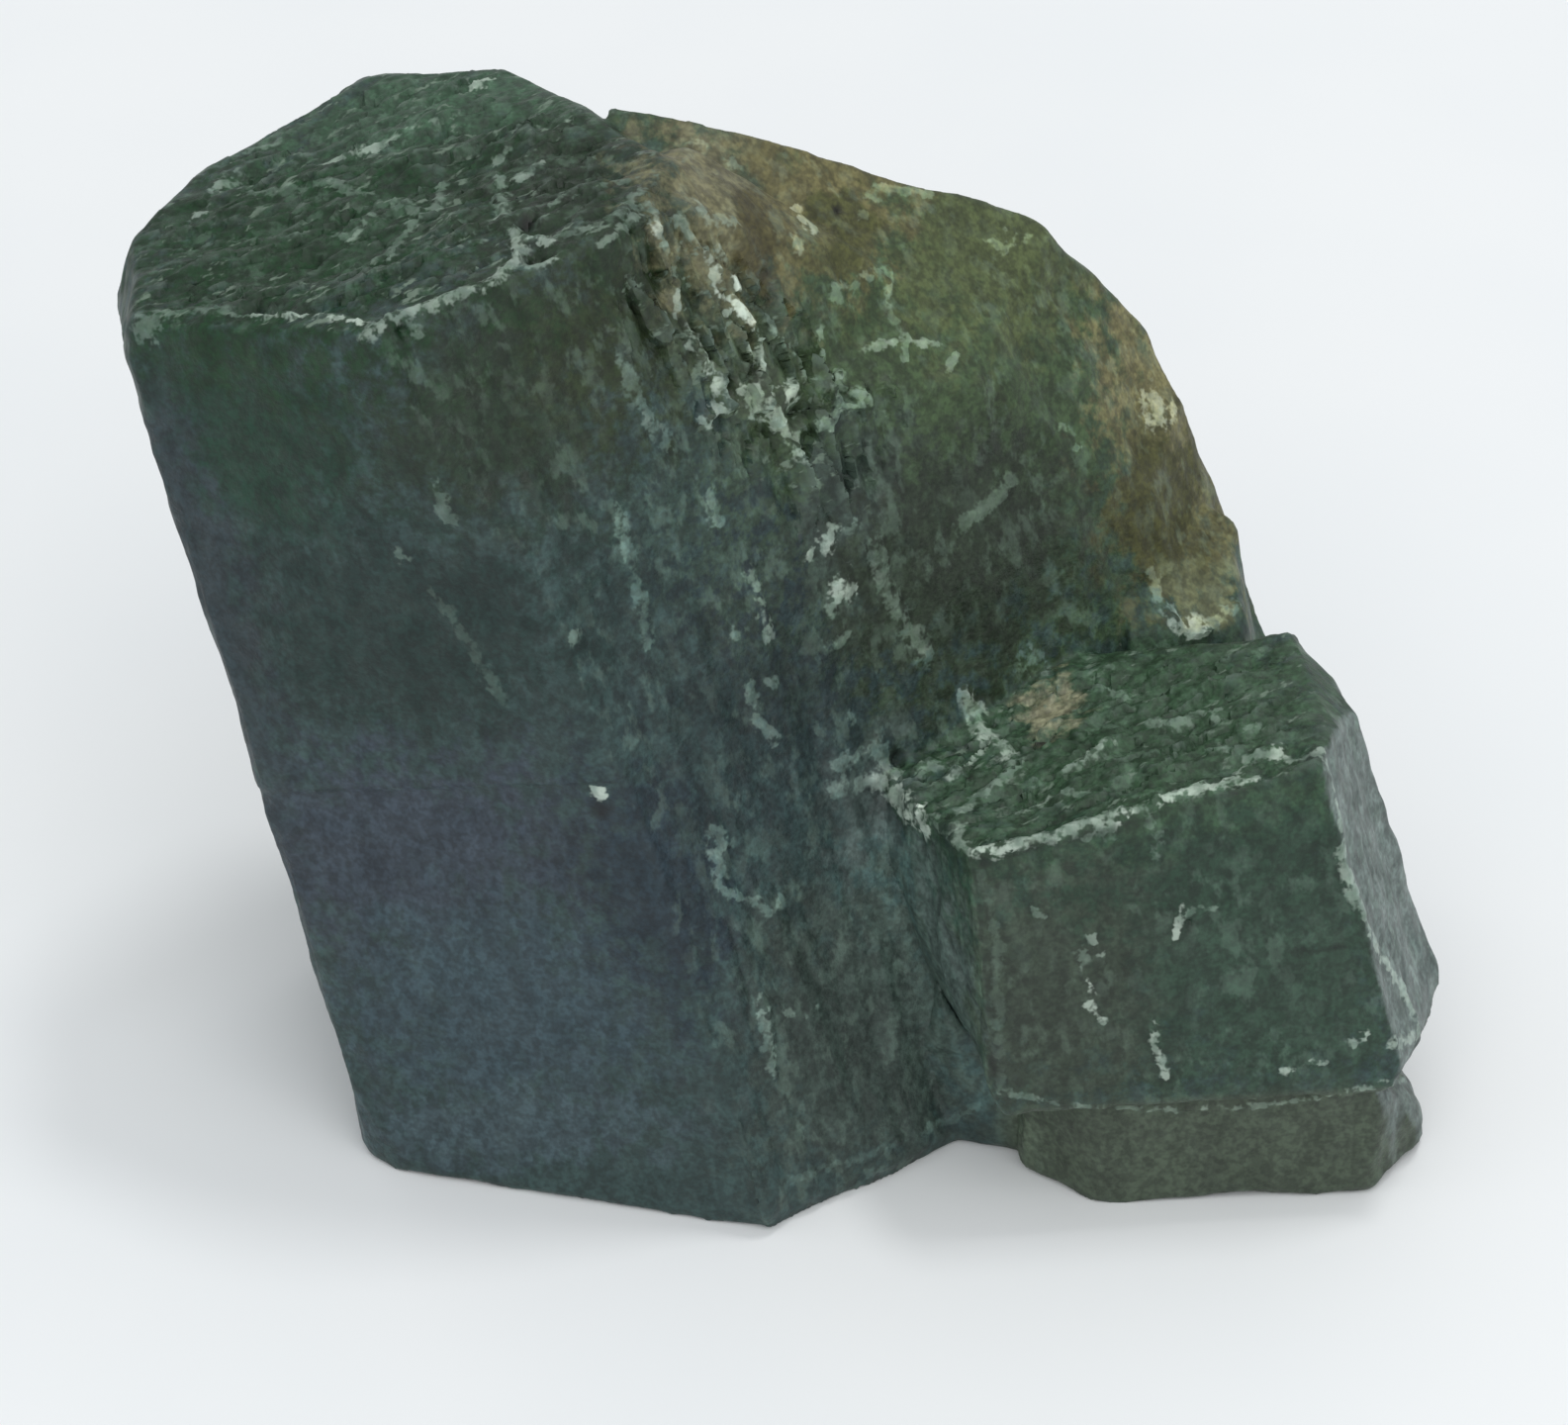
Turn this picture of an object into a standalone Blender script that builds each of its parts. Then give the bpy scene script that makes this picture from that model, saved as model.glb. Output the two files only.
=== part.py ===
"""Raw emerald: beryl crystals grown together, as one solid that rests on its underside.

Metres, +Z up, origin at the middle of the underside. The stone's front faces -Y and its right is +X.
Each block is a convex crystal cut from a cube by its faces and worn along its edges. The overlapping
blocks are fused into one surface, which is then given its rough parts: the stepped fractures across the
crystals' tops, the grooves along their length, the splintered ledge between them, rims and chips.
"""

import math

import bmesh
import bpy
import numpy as np
from mathutils import Euler, Vector, noise

NAME = "emerald"
MM = 0.001

# ---------------------------------------------------------------- driving dimensions (millimetres, degrees)

# The crystals' common length axis: upright, then tipped to the left and to the back.
LEAN_LEFT = 13.0
LEAN_BACK = 5.0

# Crystal faces: azimuth round the length axis (0 faces the front, positive to the right), angle from the
# length axis (90 for a side face, 0 for one square across the top), distance from the stone's centre line.
MAIN_FACES = {
    "front": (-18, 90, 6.4),
    "front_bevel": (25, 77.5, 8.3),
    "front_right": (37, 86, 5.1),
    "right": (97, 88, 4.5),
    "back": (162, 90, 8.0),
    "back_left": (222, 88, 11.9),
    "left": (-80, 90, 10.9),
    "top": (0, 0, 24.9),
    "right_bevel": (65, 76, 8.5),
    "top_right_bevel": (120, 60, 15.2),
    "top_left_bevel": (-115, 60, 22.1),
    "top_left_corner": (-85, 65, 20.0),
}
OLIVE_FACES = {
    "front": (37, 86, 5.1),
    "shoulder": (48, 54, 14.4),
    "corner": (56, 73, 11.1),
    "side": (62, 85, 10.1),
    "roof": (10, 35, 18.0),
    "right": (118, 84, 16.4),
    "right_bevel": (120, 60, 20.3),
    "back": (165, 86, 11.5),
    "back_bevel": (150, 45, 21.0),
    "left": (-100, 90, -0.6),
}
SMALL_FACES = {
    "front": (6, 90, 7.4),
    "side": (75, 87, 16.9),
    "back_right": (112, 85, 15.4),
    "back": (170, 90, 7.0),
    "back_bevel": (172, 47, 8.1),
    "top": (4, 1, 8.6),
    "top_bevel": (95, 50, 17.3),
}

# Faces set out from level ground instead: compass azimuth (0 faces the front), height angle, distance.
UNDERCUT = {"undercut_left": (-16, -12, 6.6), "undercut_right": (36, -16, 5.3)}
SMALL_LEVEL_FACES = {
    "left_upper": (-65, -2, -2.2),
    "left_lower": (-81, -20, -5.2),
    "low_right": (65, -23, 13.9),
    "underside": (0, -90, -2.7),
}
FOOT_LEVEL_FACES = {
    "front": (3, 0, 6.1),
    "front_left": (-35, 0, 0.0),
    "front_right": (55, 0, 15.6),
    "left": (-90, 0, -6.1),
    "right": (95, 5, 16.3),
    "right_waist": (95, 35, 13.5),
    "back_right": (114, 0, 14.2),
    "back": (180, 0, 6.0),
    "top": (0, 90, 3.6),
}
SILL_LEVEL_FACES = {
    "front": (-16, 0, 1.9),
    "left": (-90, 0, -4.0),
    "right": (90, 0, 8.0),
    "back": (180, 0, 2.0),
    "top": (0, 90, 2.2),
}
NUB_LEVEL_FACES = {
    "front": (30, 20, 5.4),
    "top": (35, 50, 9.9),
    "left": (-70, 5, -8.6),
    "right": (88, 10, 13.6),
    "bottom": (0, -90, -8.0),
    "back": (180, 0, 7.0),
}
BRIDGE_FACES = {
    "front": (51, 76, 8.7),
    "front_bevel": (25, 77.5, 8.2),
    "front_right": (37, 86, 5.0),
    "top": (0, 0, 24.6),
}
BRIDGE_LEVEL_FACES = {
    "top_right": (81, 54, 18.1),
    "left": (-90, 0, 3.6),
    "right": (90, 0, 3.5),
    "back": (180, 0, 4.6),
    "bottom": (0, -90, -14.0),
}
GROUND = -0.9          # height of the ground in the faces' own frame
BLANK = 120.0          # side of the cube that each block is cut from

# How far each block's edges are worn round.
MAIN_WEAR = 0.45
OLIVE_WEAR = 2.2
SMALL_WEAR = 0.35
FOOT_WEAR = 1.1
SILL_WEAR = 0.4
NUB_WEAR = 0.3
BRIDGE_WEAR = 0.5

GRAIN = 0.34           # cell size that the fused blocks are meshed with
TRIANGLES = 9200       # the finished solid's budget

# Relief of the rough parts, as heights and as sizes along the crystal's right, back and length axes.
STEP_HEIGHT = 0.32
STEP_SIZE = (5.5, 1.5, 4.0)
CHIP_HEIGHT = 0.24
CHIP_SIZE = (1.9, 1.0, 1.3)
GROOVE_HEIGHT = 0.2
GROOVE_SIZE = (0.9, 0.9, 9.0)
SPLINTER_HEIGHT = 0.55
SPLINTER_SIZE = (1.2, 1.2, 2.8)
WEAR_HEIGHT = 0.16
WEAR_SIZE = (3.5, 3.5, 3.5)

# The underside is worn flat where it rests, with shallow hollows between the worn parts.
HOLLOW_DEPTH = 1.6
HOLLOW_SIZE = (4.5, 4.5, 4.5)
WORN_SHARE = 0.1
LEVEL_WITHIN = 0.04

# The smooth lower left of the front is set back below a small step, and fills out again towards its foot.
RECESS_DEPTH = 0.2
RECESS_TOP = 12.0
FILL_OUT = 0.52        # how far it has filled out at the foot, four millimetres left of the middle
FILL_SLANT = 0.085     # how much more so with each millimetre further left
FILL_CORNER = (-12.2, -9.0)    # how far right the worn left corner of the foot starts and ends

# Raised rims: two ends, half width and height.
RIMS = {
    "main_top_left": ((-14.9, -3.3, 20.2), (-8.6, -5.0, 20.9), 0.28, 0.3),
    "main_top_right": ((-8.4, -5.2, 20.8), (-4.3, -2.6, 22.6), 0.3, 0.3),
    "small_top_left": ((2.4, -0.8, 9.5), (4.7, -5.7, 10.4), 0.3, 0.3),
    "small_top": ((4.8, -5.9, 10.4), (12.4, -4.5, 12.1), 0.3, 0.32),
    "small_lip": ((5.6, -6.5, 2.9), (15.0, -5.6, 2.9), 0.25, 0.2),
}

# Where the splintered ledge runs: a line down the joint between the main crystal and the olive block.
LEDGE_TOP = (-2.6, 0.6, 22.6)
LEDGE_BOTTOM = (3.6, 0.2, 16.2)
LEDGE_REACH = 1.7


# ---------------------------------------------------------------- directions and blocks

LEAN = (
    Euler((math.radians(-LEAN_BACK), 0.0, 0.0)).to_matrix()
    @ Euler((0.0, math.radians(-LEAN_LEFT), 0.0)).to_matrix()
)


def facing(azimuth, height):
    """Unit vector towards a compass azimuth (0 is the front, 90 the right) and a height above level."""
    a = math.radians(azimuth)
    h = math.radians(height)
    return Vector((math.sin(a) * math.cos(h), -math.cos(a) * math.cos(h), math.sin(h)))


def crystal_facing(azimuth, polar):
    """The same, for a face given round the tilted length axis and by its angle from that axis."""
    return LEAN @ facing(azimuth, 90.0 - polar)


def cut_block(name, crystal_faces, level_faces, wear):
    """A cube cut down by each face of a block, with its edges worn round."""
    planes = [(facing(0.0, -90.0), -GROUND)]
    for azimuth, polar, distance in crystal_faces.values():
        planes.append((crystal_facing(azimuth, polar), distance))
    for azimuth, height, distance in level_faces.values():
        planes.append((facing(azimuth, height), distance))
    bm = bmesh.new()
    bmesh.ops.create_cube(bm, size=BLANK * MM)
    for normal, distance in planes:
        whole = bm.verts[:] + bm.edges[:] + bm.faces[:]
        cut = bmesh.ops.bisect_plane(
            bm, geom=whole, plane_co=normal * distance * MM, plane_no=normal, clear_outer=True
        )
        rim = [item for item in cut["geom_cut"] if isinstance(item, bmesh.types.BMEdge)]
        if rim:
            bmesh.ops.edgeloop_fill(bm, edges=rim)
    bmesh.ops.recalc_face_normals(bm, faces=bm.faces[:])
    mesh = bpy.data.meshes.new(name)
    bm.to_mesh(mesh)
    bm.free()
    block = bpy.data.objects.new(name, mesh)
    worn = block.modifiers.new("worn_edges", "BEVEL")
    worn.width = wear * MM
    worn.segments = 3
    worn.limit_method = "ANGLE"
    worn.angle_limit = math.radians(4)
    return block


def evaluated_mesh(item):
    """A new mesh with the object's modifiers applied."""
    bpy.context.view_layer.update()
    return bpy.data.meshes.new_from_object(item.evaluated_get(bpy.context.evaluated_depsgraph_get()))


def fuse(blocks, parts, guides):
    """The blocks fused into one closed surface of small even cells, smoothed a little."""
    bm = bmesh.new()
    for block in blocks:
        guides.objects.link(block)
        block.hide_render = True
        block.display_type = "WIRE"
        bm.from_mesh(evaluated_mesh(block))
    overlapping = bpy.data.meshes.new(NAME)
    bm.to_mesh(overlapping)
    bm.free()
    stone = bpy.data.objects.new(NAME, overlapping)
    parts.objects.link(stone)
    cells = stone.modifiers.new("cells", "REMESH")
    cells.mode = "VOXEL"
    cells.voxel_size = GRAIN * MM
    ease = stone.modifiers.new("ease", "SMOOTH")
    ease.factor = 0.5
    ease.iterations = 3
    fused = evaluated_mesh(stone)
    stone.modifiers.clear()
    stone.data = fused
    return stone


# ---------------------------------------------------------------- relief

def blend(values, low, high):
    """0 below low, 1 above high, and smooth between."""
    t = np.clip((values - low) / (high - low), 0.0, 1.0)
    return t * t * (3.0 - 2.0 * t)


def waves(places, size, octaves):
    """Smooth random heights, about -1 to 1, of features of the given size."""
    return np.array([noise.fractal(place, 1.0, 2.0, octaves) for place in (places / size).tolist()])


def flakes(places, size):
    """Random heights of flat, tipped flakes of the given size that meet at sharp edges."""
    heights = np.empty(len(places))
    for index, place in enumerate((places / size).tolist()):
        site = noise.voronoi(place)[1][0]
        tip = noise.cell_vector(site * 7.0) - Vector((0.5, 0.5, 0.5))
        heights[index] = tip.x + tip.dot(Vector(place) - site) * 1.6
    return heights


def terraces(heights, count):
    """Heights gathered into flat treads with steep risers between them."""
    level = heights * count
    tread = np.floor(level)
    return (tread + blend(level - tread, 0.7, 1.0)) / count


def near_line(places, start, end, reach):
    """1 on the line between two points, falling smoothly to 0 at about twice the reach."""
    start = np.array(start)
    along = np.array(end) - start
    t = np.clip((places - start) @ along / (along @ along), 0.0, 1.0)
    away = np.linalg.norm(places - start - t[:, None] * along, axis=1)
    return np.exp(-((away / reach) ** 2))


def carve(stone):
    """Moves the stone's surface in and out to give it its rough parts."""
    mesh = stone.data
    count = len(mesh.vertices)
    places = np.empty(count * 3)
    mesh.vertices.foreach_get("co", places)
    places = places.reshape(-1, 3) / MM
    normals = np.empty(count * 3)
    mesh.vertex_normals.foreach_get("vector", normals)
    normals = normals.reshape(-1, 3)

    lean = np.array(LEAN)
    grown = places @ lean              # the same places measured right, back and up along the crystals
    faced = normals @ lean
    height = grown[:, 2]
    on_top = blend(faced[:, 2], 0.80, 0.93)
    main_top = on_top * blend(height, 19.5, 21.5)
    small_top = on_top * blend(height, 6.2, 7.2) * (1.0 - blend(height, 11.0, 13.0))
    tops = np.maximum(main_top, small_top)
    round_right = np.degrees(np.arctan2(faced[:, 0], -faced[:, 1]))
    sides = (1.0 - blend(faced[:, 2], 0.35, 0.7)) * (1.0 - blend(-faced[:, 2], 0.3, 0.6))
    grooved = sides * blend(np.abs(round_right + 18.0), 25.0, 42.0)
    ledge = near_line(places, LEDGE_TOP, LEDGE_BOTTOM, LEDGE_REACH)

    steps = terraces(waves(grown, STEP_SIZE, 2), 3) * STEP_HEIGHT
    chips = flakes(grown, CHIP_SIZE) * CHIP_HEIGHT
    up = (steps + chips) * tops

    out = waves(places, WEAR_SIZE, 3) * WEAR_HEIGHT * (1.0 - 0.75 * sides * (1.0 - grooved))
    out += waves(grown, GROOVE_SIZE, 2) * GROOVE_HEIGHT * grooved
    out += (flakes(grown, SPLINTER_SIZE) - 0.35) * SPLINTER_HEIGHT * ledge
    for start, end, reach, rise in RIMS.values():
        out += near_line(places, start, end, reach) * rise

    under = blend(-normals[:, 2], 0.75, 0.95)
    rise = under * np.clip(waves(places, HOLLOW_SIZE, 3) - WORN_SHARE, 0.0, None) * HOLLOW_DEPTH

    front = np.array(crystal_facing(*MAIN_FACES["front"][:2]))
    behind_front = MAIN_FACES["front"][2] - places @ front
    low_front = (1.0 - blend(height, RECESS_TOP, RECESS_TOP + 0.3)) * (1.0 - blend(behind_front, 0.8, 2.0))
    low_front *= 1.0 - blend(grown[:, 0], 0.9, 1.5)
    fill = (FILL_OUT - FILL_SLANT * (grown[:, 0] + 4.0)) * blend(grown[:, 0], *FILL_CORNER)
    forward = fill * np.clip(1.0 - height / RECESS_TOP, 0.0, 1.0) - RECESS_DEPTH

    places += normals * (out * (1.0 - under))[:, None] + lean[:, 2] * up[:, None]
    places += front * (low_front * forward)[:, None]
    places[:, 2] += rise
    mesh.vertices.foreach_set("co", (places * MM).ravel())
    mesh.update()


def thin_out(stone):
    """Fewer triangles, kept where the surface bends."""
    triangles = sum(len(face.vertices) - 2 for face in stone.data.polygons)
    fewer = stone.modifiers.new("fewer", "DECIMATE")
    fewer.ratio = TRIANGLES / triangles
    thinned = evaluated_mesh(stone)
    stone.modifiers.clear()
    stone.data = thinned


def rest_flat(stone):
    """Levels the worn parts of the underside and puts the origin on the ground below the stone's middle."""
    mesh = stone.data
    places = np.empty(len(mesh.vertices) * 3)
    mesh.vertices.foreach_get("co", places)
    places = places.reshape(-1, 3) / MM
    places[places[:, 2] < GROUND + LEVEL_WITHIN, 2] = GROUND
    middle = (places.min(axis=0) + places.max(axis=0)) / 2.0
    middle[2] = GROUND
    mesh.vertices.foreach_set("co", ((places - middle) * MM).ravel())
    mesh.update()


def stone_material():
    """Dark, dull green beryl, close to opaque."""
    material = bpy.data.materials.new("emerald_rough")
    material.use_nodes = True
    shader = material.node_tree.nodes["Principled BSDF"]
    shader.inputs["Base Color"].default_value = (0.045, 0.075, 0.05, 1.0)
    shader.inputs["Roughness"].default_value = 0.55
    shader.inputs["Metallic"].default_value = 0.0
    material.diffuse_color = (0.045, 0.075, 0.05, 1.0)
    return material


def main():
    for old in list(bpy.data.objects):
        bpy.data.objects.remove(old)
    parts = bpy.data.collections.new(NAME)
    guides = bpy.data.collections.new(NAME + "_blocks")
    bpy.context.scene.collection.children.link(parts)
    bpy.context.scene.collection.children.link(guides)
    blocks = [
        cut_block("main_crystal", MAIN_FACES, UNDERCUT, MAIN_WEAR),
        cut_block("olive_block", OLIVE_FACES, UNDERCUT, OLIVE_WEAR),
        cut_block("small_crystal", SMALL_FACES, SMALL_LEVEL_FACES, SMALL_WEAR),
        cut_block("foot", {}, FOOT_LEVEL_FACES, FOOT_WEAR),
        cut_block("sill", {}, SILL_LEVEL_FACES, SILL_WEAR),
        cut_block("nub", {}, NUB_LEVEL_FACES, NUB_WEAR),
        cut_block("bridge", BRIDGE_FACES, BRIDGE_LEVEL_FACES, BRIDGE_WEAR),
    ]
    stone = fuse(blocks, parts, guides)
    carve(stone)
    thin_out(stone)
    rest_flat(stone)
    stone.data.materials.clear()
    stone.data.materials.append(stone_material())


main()
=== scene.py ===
"""Raw emerald, as it looks: one dark green stone with pale broken ridges, on a plain pale floor.

The stone is cut from the same crystal blocks as the CAD solid, in the same place, and replaces it with a
finer surface. It is measured in millimetres in the blocks' own frame, +Z up with the front facing -Y, and is
moved to the part's origin at the end.
"""

import math

import bmesh
import bpy
import numpy as np
from mathutils import Euler, Matrix, Vector, noise
from mathutils.bvhtree import BVHTree


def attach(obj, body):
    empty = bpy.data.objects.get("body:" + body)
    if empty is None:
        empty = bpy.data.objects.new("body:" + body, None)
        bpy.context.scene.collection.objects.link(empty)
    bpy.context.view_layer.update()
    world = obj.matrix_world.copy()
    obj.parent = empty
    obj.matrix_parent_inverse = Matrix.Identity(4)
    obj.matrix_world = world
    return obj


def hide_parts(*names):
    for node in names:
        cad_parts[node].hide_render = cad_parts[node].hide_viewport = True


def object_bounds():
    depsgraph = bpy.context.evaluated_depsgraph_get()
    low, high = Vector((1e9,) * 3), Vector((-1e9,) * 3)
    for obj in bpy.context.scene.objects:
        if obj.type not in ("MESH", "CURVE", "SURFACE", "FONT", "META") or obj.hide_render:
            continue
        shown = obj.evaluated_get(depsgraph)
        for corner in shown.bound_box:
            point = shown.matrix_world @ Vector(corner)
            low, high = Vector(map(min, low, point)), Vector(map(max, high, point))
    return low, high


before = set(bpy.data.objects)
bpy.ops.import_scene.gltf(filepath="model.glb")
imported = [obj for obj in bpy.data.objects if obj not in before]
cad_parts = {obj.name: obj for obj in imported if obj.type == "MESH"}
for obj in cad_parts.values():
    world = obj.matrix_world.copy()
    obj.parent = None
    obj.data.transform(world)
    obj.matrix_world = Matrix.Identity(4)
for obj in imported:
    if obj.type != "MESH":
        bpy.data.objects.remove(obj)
cad_low, cad_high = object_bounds()

MM = 0.001

# ---- the crystals (millimetres, degrees)

# The crystals' common length axis: upright, then tipped to the left and to the back.
LEAN_LEFT = 13.0
LEAN_BACK = 5.0

# Crystal faces: azimuth round the length axis (0 faces the front, positive to the right), angle from the
# length axis (90 for a side face, 0 for one square across the top), distance from the stone's centre line.
MAIN_FACES = dict(
    front=(-18, 90, 6.4),
    front_bevel=(25, 77.5, 8.3),
    front_top_left=(-28, 84, 9.13),
    front_right=(37, 86, 5.1),
    right=(97, 88, 4.5),
    back=(162, 90, 8.0),
    back_left=(222, 88, 11.9),
    left=(-80, 90, 10.9),
    top=(0, 0, 24.9),
    right_bevel=(65, 76, 8.5),
    top_right_bevel=(120, 60, 15.2),
    top_left_bevel=(-115, 60, 22.1),
    top_left_corner=(-85, 65, 20.0),
)
OLIVE_FACES = dict(
    front=(37, 86, 5.1),
    shoulder=(48, 54, 14.4),
    corner=(56, 73, 11.1),
    side=(62, 85, 10.1),
    roof=(10, 35, 18.0),
    right=(118, 84, 16.4),
    right_bevel=(120, 60, 20.3),
    back=(165, 86, 11.5),
    back_bevel=(150, 45, 21.0),
    left=(-100, 90, -0.6),
)
SMALL_FACES = dict(
    front=(6, 90, 7.4),
    side=(75, 87, 16.9),
    back_right=(112, 85, 15.4),
    back=(170, 90, 7.0),
    back_bevel=(172, 47, 8.1),
    top=(4, 1, 8.6),
    top_bevel=(95, 50, 17.3),
)

# Faces set out from level ground instead: compass azimuth (0 faces the front), height angle, distance.
UNDERCUT = dict(left=(-16, -12, 6.6), right=(36, -16, 5.3))
SMALL_LEVEL_FACES = dict(
    left_upper=(-65, -2, -2.2),
    left_lower=(-81, -20, -5.2),
    low_right=(65, -23, 13.9),
    underside=(0, -90, -2.7),
)
FOOT_LEVEL_FACES = dict(
    front=(3, 0, 6.1),
    front_left=(-35, 0, 0.0),
    front_right=(55, 0, 15.6),
    left=(-90, 0, -6.1),
    right=(95, 5, 16.3),
    right_waist=(95, 35, 13.5),
    back_right=(114, 0, 14.2),
    back=(180, 0, 6.0),
    top=(0, 90, 3.6),
)
SILL_LEVEL_FACES = dict(
    front=(-16, 0, 1.9),
    left=(-90, 0, -4.0),
    right=(90, 0, 8.0),
    back=(180, 0, 2.0),
    top=(0, 90, 2.2),
)
# A sloped wedge in the hollow at the foot of the crease.
GUSSET_LEVEL_FACES = dict(
    front=(-16, 25, 2.65),
    left=(-90, 0, -3.4),
    right=(90, 0, 8.0),
    back=(180, 0, 2.0),
    top=(0, 90, 5.2),
    bottom=(0, -90, -2.0),
)
NUB_LEVEL_FACES = dict(
    front=(30, 20, 5.4),
    top=(35, 50, 9.9),
    left=(-70, 5, -8.6),
    right=(88, 10, 13.6),
    bottom=(0, -90, -8.0),
    back=(180, 0, 7.0),
)
BRIDGE_FACES = dict(
    front=(51, 76, 8.7),
    front_bevel=(25, 77.5, 8.2),
    front_right=(37, 86, 5.0),
    top=(0, 0, 24.6),
)
BRIDGE_LEVEL_FACES = dict(
    top_right=(81, 54, 18.1),
    left=(-90, 0, 3.6),
    right=(90, 0, 3.5),
    back=(180, 0, 4.6),
    bottom=(0, -90, -14.0),
)
GROUND = -0.9  # height of the ground in the blocks' frame
ORIGIN = (0.215, 2.647, GROUND)  # where the part's origin lies in the blocks' frame
BLANK = 120.0  # side of the cube that each block is cut from

# Each block: its faces round the length axis, its faces set out from level, how far its edges are worn round.
MAIN = (MAIN_FACES, UNDERCUT, 0.32)
OLIVE = (OLIVE_FACES, UNDERCUT, 2.2)
SMALL = (SMALL_FACES, SMALL_LEVEL_FACES, 0.3)
FOOT = ({}, FOOT_LEVEL_FACES, 1.1)
SILL = ({}, SILL_LEVEL_FACES, 0.4)
GUSSET = ({}, GUSSET_LEVEL_FACES, 0.4)
NUB = ({}, NUB_LEVEL_FACES, 0.3)
BRIDGE = (BRIDGE_FACES, BRIDGE_LEVEL_FACES, 0.5)

GRAIN = 0.105  # cell size that the fused blocks are meshed with
TRIANGLES = 195000  # the finished piece's budget

# ---- the photo's camera

PHOTO_WIDTH = 1585
PHOTO_HEIGHT = 1440
CAMERA_ELEVATION = 35.0
CAMERA_DISTANCE = 150.0
CAMERA_TARGET = Vector((0.15, 0.0, 10.5))
PIXELS_PER_MM = 40.0  # at the target
SENSOR_WIDTH = 36.0

# ---- relief (millimetres)

# Random relief: height, and size in all directions or along the crystals' right, back and length axes.
RELIEF = dict(
    steps=(0.24, (5.5, 1.5, 4.0)),
    chips=(0.13, (1.9, 0.8, 1.3)),
    hackles=(0.12, (0.8, 0.32, 0.6)),
    grooves=(0.1, (0.9, 0.9, 9.0)),
    scratches=(0.05, (0.38, 0.38, 4.0)),
    splinters=(0.36, (0.42, 0.42, 2.0)),
    wear=(0.16, 3.5),
    dimples=(0.03, 0.7),
    hollows=(1.6, 4.5),
)
TOP_TURN = 30.0  # how far the tops' ridges run round from the right towards the back
WORN_DEPTH = 0.16  # the underside's hollows that are shallower than this are worn flat
LEVEL_WITHIN = 0.04  # height up to which the underside is level

# The smooth lower left of the front is set back below a small step, and fills out again towards its foot.
RECESS_DEPTH = 0.15
RECESS_TOP = 12.0
FILL_OUT = 0.52  # how far it has filled out at the foot, four millimetres left of the middle
FILL_SLANT = 0.085  # how much more so with each millimetre further left
FILL_CORNER = (-12.2, -9.0)  # how far right the worn left corner of the foot starts and ends

# Where the splintered ledge runs: a line down the joint between the main crystal and the olive block.
LEDGE_TOP = (-2.6, 0.6, 22.6)
LEDGE_BOTTOM = (1.6, 0.33, 18.3)
LEDGE_REACH = 1.5

# How far from the crease between the main and the small crystal it starts to fill out.
CREASE_REACH = 3.0

# How far ridges wander from their drawn course, and the size of each bend.
WANDER = 0.1
WANDER_SIZE = 0.55
FRAY = 0.03
FRAY_SIZE = 0.16
WANDER_SEED = 1  # noise_vector is otherwise different in each run
GAP_SIZE = 0.25  # size of the gaps where ridges are broken down

# Where parts of the surface begin: each pair is where a part's share starts and where it is whole. Tilts are
# along the crystals' length axis (1 faces its end) and heights along it.
TOP_TILT = (0.8, 0.93)
MAIN_TOP_HEIGHT = (19.5, 21.5)
SMALL_TOP_HEIGHT = (6.2, 7.2)
SMALL_TOP_END = (11.0, 13.0)
OFF_SIDE_UP = (0.35, 0.7)
OFF_SIDE_DOWN = (0.3, 0.6)
FRONT_TURN = 18.0  # how far the smooth front is turned to the left
GROOVES_FROM = (25.0, 42.0)  # turns away from the smooth front where the sides become grooved
RIM_WIDTH = (0.1, 1.4)  # how far inside a top's edge its relief grows to full height
UNDERSIDE_TILT = (0.75, 0.95)
CREASE_TOP = (6.0, 8.5)
CREASE_FOOT = (2.5, 4.5)  # height above the ground

# Marks: sizes are in hundredths of a millimetre, paleness in hundredths, and places in photo pixels.

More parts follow.
